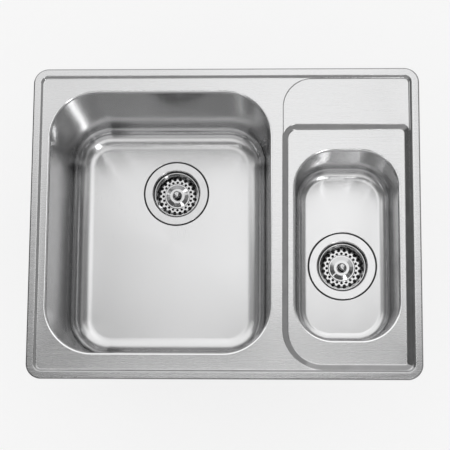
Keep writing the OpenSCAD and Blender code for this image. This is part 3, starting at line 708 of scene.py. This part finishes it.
def tail_radius(z, a):
    """Outside of the waste tail: neck, then the thread, which fades out at both ends, and the end's chamfer."""
    turn = (z / THREAD_PITCH + a / (2 * math.pi)) % 1.0
    depth = THREAD_DEPTH * np.clip(1.6 * np.abs(2 * turn - 1) - 0.3, 0, 1)
    fade = np.clip((THREAD_TOP - 1.1 - z) / 1.2, 0, 1) * np.clip((z - THREAD_END) / 1.2, 0, 1)
    chamfer = np.clip(THREAD_END - z, 0, 0.6)
    return np.where(z > THREAD_TOP + 0.01, NECK_R, TAIL_R - depth * fade - chamfer)


def build_tail(name, bowl, floor_z):
    """Waste tail with its thread cut in."""
    dx, dy = bowl["drain"]
    heights = np.concatenate([
        [TAIL_TOP, TAIL_TOP - 0.7, THREAD_TOP + 0.7], np.linspace(THREAD_TOP, TAIL_END, TAIL_ROWS), [TAIL_END]])
    z, a = np.meshgrid(heights, np.arange(TAIL_COLS) * 2 * math.pi / TAIL_COLS)

    def turned_points(r):
        return np.stack([dx + r * np.cos(a), dy + r * np.sin(a), z + floor_z], -1)

    r = tail_radius(z, a)
    r[:, -1] = BORE_R
    v = turned_points(r)
    bore = turned_points(BORE_R)
    slope = np.clip((tail_radius(z + 0.05, a) - tail_radius(z - 0.05, a)) / 0.1, -2, 2)
    n = np.stack([np.cos(a), np.sin(a), -slope], -1)
    n /= np.linalg.norm(n, axis=-1, keepdims=True)
    level_n = np.stack([np.cos(a), np.sin(a), 0 * a], -1)
    down = np.zeros_like(n)
    down[..., 2] = -1
    tail = Piece()
    tail.grid(v[:, :4], level_n[:, :4])
    tail.grid(v[:, 3:-1], n[:, 3:-1])
    tail.grid(v[:, -2:], down[:, -2:])
    tail.grid(bore[:, [0, -1]], -level_n[:, [0, -1]])
    tail.strip(v[:, 0], bore[:, 0], np.tile([0.0, 0.0, 1.0], (TAIL_COLS, 1)))
    tail.build(f"{name}_tail_threaded", [plastic], "sink", f"{name}_waste_tail", "plastic")


for name, bowl in BOWLS.items():
    for build in (build_bowl, build_cup, build_basket, build_gasket, build_post, build_tail):
        build(name, bowl, bowl["z"] - bowl["h"])

# Nodes that keep the frame's shape
NODE_MATERIALS = {
    "rim_seal": foam, "damping_pad": rubber, "cup_gasket": rubber, "waste_washer": rubber, "stopper": rubber,
    "waste_body": plastic, "waste_tail": plastic, "waste_insert": brass, "clamp_screw": polished,
    "catch_clip": zinc, "clip_brackets": zinc, "clip_screws": zinc, "clip_claw": zinc,
    "basket": polished, "plug_post": polished, "strainer_cup": polished, "deck": deck_steel, "bowl": under_steel,
}
for node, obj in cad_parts.items():
    mat = next((mat for key, mat in NODE_MATERIALS.items() if key in node), None)
    if mat:
        for s in obj.material_slots:
            s.material = mat

# Camera, as fitted to the photograph: distance in metres, angles in degrees, lens in pixels of a 450 pixel picture
DISTANCE, ELEVATION, AZIMUTH, ROLL, TILT = 1.7, 78.5, 12.4, -12.2, 4.3
SENSOR, PICTURE_PX, LENS_PX = 36, 450, 1069.4


def direction(elevation, azimuth):
    e, a = math.radians(elevation), math.radians(azimuth)
    return Vector((math.cos(e) * math.sin(a), -math.cos(e) * math.cos(a), math.sin(e)))


place = DISTANCE * direction(ELEVATION, AZIMUTH)
look = -direction(ELEVATION + TILT, AZIMUTH)
right = look.cross(Vector((0, 0, 1))).normalized()
up = right.cross(look)
roll = math.radians(ROLL)
right, up = math.cos(roll) * right + math.sin(roll) * up, -math.sin(roll) * right + math.cos(roll) * up
cam = bpy.data.cameras.new("camera")
cam.sensor_width = SENSOR
cam.lens = LENS_PX / PICTURE_PX * SENSOR
cam.shift_x, cam.shift_y = -0.037, 0.167
cam.clip_end = 50
camera = bpy.data.objects.new("camera", cam)
bpy.context.scene.collection.objects.link(camera)
camera.matrix_world = Matrix((
    (right.x, up.x, -look.x, place.x),
    (right.y, up.y, -look.y, place.y),
    (right.z, up.z, -look.z, place.z),
    (0, 0, 0, 1),
))
bpy.context.scene.camera = camera

# Floor, light and world, in metres
REACH, CEILING, WALL_TOP = 3.4, 2.6, 1.24
FLOOR_HALF = 4.0
FLOOR_Z = cad_box[0][2] - 0.001


def stage_piece(name, verts, faces, mat):
    mesh = bpy.data.meshes.new(name)
    mesh.from_pydata(verts, [], faces)
    mesh.materials.append(mat)
    obj = bpy.data.objects.new(name, mesh)
    bpy.context.scene.collection.objects.link(obj)
    return obj


def rectangle(name, x0, x1, y0, y1, z, mat):
    return stage_piece(name, [(x0, y0, z), (x1, y0, z), (x1, y1, z), (x0, y1, z)], [(0, 1, 2, 3)], mat)


# Paper whose pale colour is mostly the camera's, and which keeps the object's shadow
floor_paper, nt, b = material("floor_paper", (0.92, 0.92, 0.92), 0.9, metallic=0.0, spec=0.2)
nt.links.new(ramp(nt, noise(nt, 30.0, 4), (0.915, 0.915, 0.915), (0.925, 0.925, 0.925)), b.inputs["Base Color"])
glow = nt.nodes.new("ShaderNodeEmission")
glow.inputs["Color"].default_value = (1, 1, 1, 1)
glow.inputs["Strength"].default_value = 1.0
mix = nt.nodes.new("ShaderNodeMixShader")
ray = nt.nodes.new("ShaderNodeLightPath")
nt.links.new(calc(nt, "MULTIPLY", ray.outputs["Is Camera Ray"], 0.75), mix.inputs["Fac"])
nt.links.new(b.outputs[0], mix.inputs[1])
nt.links.new(glow.outputs[0], mix.inputs[2])
nt.links.new(mix.outputs[0], nt.nodes["Material Output"].inputs["Surface"])
rectangle("studio_floor", -FLOOR_HALF, FLOOR_HALF, -FLOOR_HALF, FLOOR_HALF, FLOOR_Z, floor_paper)


def card(name, verts, faces, level):
    """Dark or pale card of the studio. Metal reflects it, and the light on matt surfaces passes it."""
    m = bpy.data.materials.new(name + "_paint")
    m.use_nodes = True
    nt = m.node_tree
    nt.nodes.remove(nt.nodes["Principled BSDF"])
    paint = nt.nodes.new("ShaderNodeEmission")
    paint.inputs["Strength"].default_value = level
    nt.links.new(paint.outputs[0], nt.nodes["Material Output"].inputs["Surface"])
    obj = stage_piece(name, verts, faces, m)
    obj.visible_camera = obj.visible_diffuse = obj.visible_shadow = False


def polar(r, degrees, z):
    return (r * math.cos(math.radians(degrees)), r * math.sin(math.radians(degrees)), z)


def ceiling(name, x0, x1, y0, y1, level):
    card(name, [(x0, y0, CEILING), (x1, y0, CEILING), (x1, y1, CEILING), (x0, y1, CEILING)], [(0, 1, 2, 3)], level)


def strip(name, corners, level):
    """Strip light near the ceiling, by distance and direction in degrees from the middle."""
    card(name, [polar(r, q, CEILING - 0.03) for r, q in corners], [(0, 1, 2, 3)], level)


def wall(name, from_deg, to_deg, low_z, high_z, level):
    steps = max(2, int((to_deg - from_deg) / 7.5))
    spots = [from_deg + (to_deg - from_deg) * q / steps for q in range(steps + 1)]
    verts = [polar(REACH, q, z) for z in (low_z, high_z) for q in spots]
    card(name, verts, [(q, q + 1, steps + 2 + q, steps + 1 + q) for q in range(steps)], level)


ceiling("front_ceiling", -REACH, REACH, -1.75, 0.02, 0.1)
ceiling("left_ceiling", -REACH, -0.72, 0.02, 0.7, 0.35)
ceiling("right_ceiling", 0.85, REACH, 0.02, 1.1, 0.2)
strip("right_strip", [(0.8, 298), (0.8, 314), (2.3, 314), (2.3, 304)], 5.5)
strip("left_strip", [(0.82, 217), (0.82, 231), (0.98, 228), (1.2, 217)], 3.5)
strip("front_strip", [(0.62, 211), (0.25, 298), (0.44, 287), (0.72, 216)], 2.5)
wall("right_wall", -60, 60, FLOOR_Z, WALL_TOP, 0.35)
wall("front_wall", 225, 300, FLOOR_Z, WALL_TOP, 0.25)
wall("back_wall", 60, 150, FLOOR_Z, WALL_TOP, 0.55)
wall("left_wall", 150, 225, FLOOR_Z, WALL_TOP, 0.15)
wall("high_wall", 200, 405, WALL_TOP, CEILING, 0.36)
wall("high_left_wall", 150, 200, WALL_TOP, CEILING, 0.12)

# Softbox over the back, facing straight down
SOFTBOX_W, SOFTBOX_D, RADIANCE = 1.4, 1.8, 0.15
light = bpy.data.lights.new("top_softbox", "AREA")
light.shape = "RECTANGLE"
light.size, light.size_y = SOFTBOX_W, SOFTBOX_D
light.energy = RADIANCE * 4 * SOFTBOX_W * SOFTBOX_D
softbox = bpy.data.objects.new("top_softbox", light)
bpy.context.scene.collection.objects.link(softbox)
softbox.location = (0.6, 1.0, CEILING + 0.1)
softbox.rotation_euler = Vector((0, 0, -1)).to_track_quat("-Z", "Y").to_euler()

# World: plain light on matt surfaces, and the pale background for the camera and for reflections
world = bpy.data.worlds.new("studio")
bpy.context.scene.world = world
world.use_nodes = True
nt = world.node_tree
bg = nt.nodes["Background"]
bg.inputs["Color"].default_value = (1, 1, 1, 1)
bg.inputs["Strength"].default_value = 0.8
pale = nt.nodes.new("ShaderNodeBackground")
pale.inputs["Color"].default_value = (0.94, 0.94, 0.94, 1)
pale.inputs["Strength"].default_value = 1.0
ray = nt.nodes.new("ShaderNodeLightPath")
shown = calc(nt, "MAXIMUM", ray.outputs["Is Camera Ray"], ray.outputs["Is Glossy Ray"])
shown = calc(nt, "MAXIMUM", shown, ray.outputs["Is Transmission Ray"])
mix = nt.nodes.new("ShaderNodeMixShader")
nt.links.new(shown, mix.inputs["Fac"])
nt.links.new(bg.outputs[0], mix.inputs[1])
nt.links.new(pale.outputs[0], mix.inputs[2])
nt.links.new(mix.outputs[0], nt.nodes["World Output"].inputs["Surface"])

bpy.context.scene.view_settings.view_transform = "Standard"
